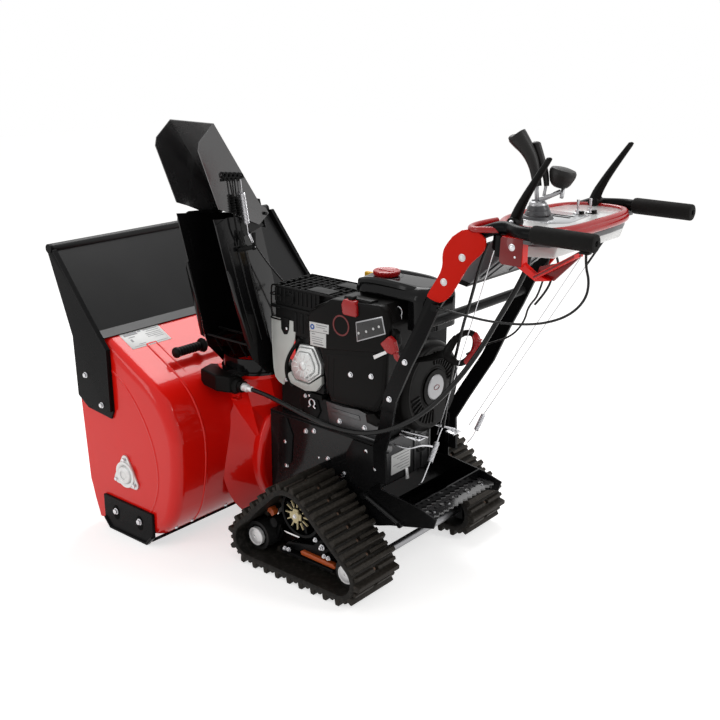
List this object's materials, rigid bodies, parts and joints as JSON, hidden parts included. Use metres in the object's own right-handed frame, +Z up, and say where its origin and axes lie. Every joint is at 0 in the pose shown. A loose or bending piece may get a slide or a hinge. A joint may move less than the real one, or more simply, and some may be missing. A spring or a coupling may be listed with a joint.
{
  "type": "tracked snow blower",
  "caption": "Walk-behind two-stage snow blower on rubber tracks, with a turning chute, a tilting deflector, an engine and handlebar controls.",
  "frame": {"origin": "on the floor under the middle of the machine", "axes": "+X forward to the auger housing, +Y to the machine's left, +Z up"},
  "size_m": [1.456, 0.8018, 1.084],
  "materials": {
    "red_paint": "gloss",
    "black_paint": "satin",
    "black_gloss": "gloss",
    "zinc_steel": "zinc plated",
    "cast_alloy": "cast",
    "engine_alloy": "painted black",
    "shield_white": "satin",
    "guard_black": "matte",
    "track_rubber": "moulded",
    "wheel_black": "moulded",
    "black_plastic": "moulded",
    "tank_plastic": "gloss",
    "red_plastic": "gloss",
    "yellow_plastic": "gloss",
    "grip_foam": "foam",
    "cable_sheath": "smooth"
  },
  "bodies": {
    "machine": {"auger_housing": "red_paint", "impeller_housing": "red_paint", "visor": "black_gloss", "visor_brackets": "black_paint", "skid_shoes": "black_paint", "auger_bearings": "cast_alloy", "scraper_bar": "black_paint", "auger_gearbox": "black_paint", "chute_gearbox": "black_plastic", "clean_out_tool": "black_plastic", "tool_clips": "black_paint", "track_left": "track_rubber", "track_right": "track_rubber", "track_idlers": "wheel_black", "idler_axles": "zinc_steel", "track_sprockets": "black_paint", "drive_axle": "zinc_steel", "track_frames": "black_paint", "chassis": "black_paint", "transmission": "cast_alloy", "footplate": "black_paint", "belt_cover": "black_plastic", "engine_block": "engine_alloy", "valve_cover": "cast_alloy", "heat_shield": "shield_white", "muffler_guard": "guard_black", "carburettor_cover": "black_plastic", "choke_knob": "red_plastic", "stop_key": "red_plastic", "fuel_tank": "tank_plastic", "fuel_cap": "red_plastic", "dipstick": "yellow_plastic", "recoil_cover": "black_plastic", "starter_handle": "black_plastic", "struts": "black_paint", "cross_tube": "black_paint", "gussets": "red_paint", "handlebars": "black_paint", "grips": "grip_foam", "paddles": "black_plastic", "steering_trigger": "red_paint", "dash_panel": "red_plastic", "dash_lamp": "black_plastic", "chute_lever": "black_plastic", "speed_lever": "black_plastic", "flexible_shaft": "cable_sheath", "grip_wire": "cable_sheath"},
    "auger": {"auger_shaft": "zinc_steel", "auger_left": "red_paint", "auger_right": "red_paint"},
    "impeller": {"impeller": "red_paint"},
    "chute": {"chute": "black_gloss", "chute_guard": "guard_black"},
    "deflector": {"chute_deflector": "black_gloss"}
  },
  "joints": [
    {"name": "auger_spin", "type": "hinge", "parent": "machine", "child": "auger", "pos_m": [0.463, 0, 0.175], "axis": [0, 1, 0], "continuous": true},
    {"name": "impeller_spin", "type": "hinge", "parent": "machine", "child": "impeller", "pos_m": [0.23, 0, 0.212], "axis": [1, 0, 0], "continuous": true},
    {"name": "chute_turn", "type": "hinge", "parent": "machine", "child": "chute", "pos_m": [0.26, 0.108, 0.445], "axis": [0, 0, 1], "range_deg": [-190, 10]},
    {"name": "deflector_tilt", "type": "hinge", "parent": "chute", "child": "deflector", "pos_m": [0.26, 0.14075, 0.85223], "axis": [-1, 0, 0], "range_deg": [0, 42]}
  ],
  "couplings": [
    {"joint": "auger_spin", "follows": "impeller_spin", "ratio": 0.1}
  ]
}
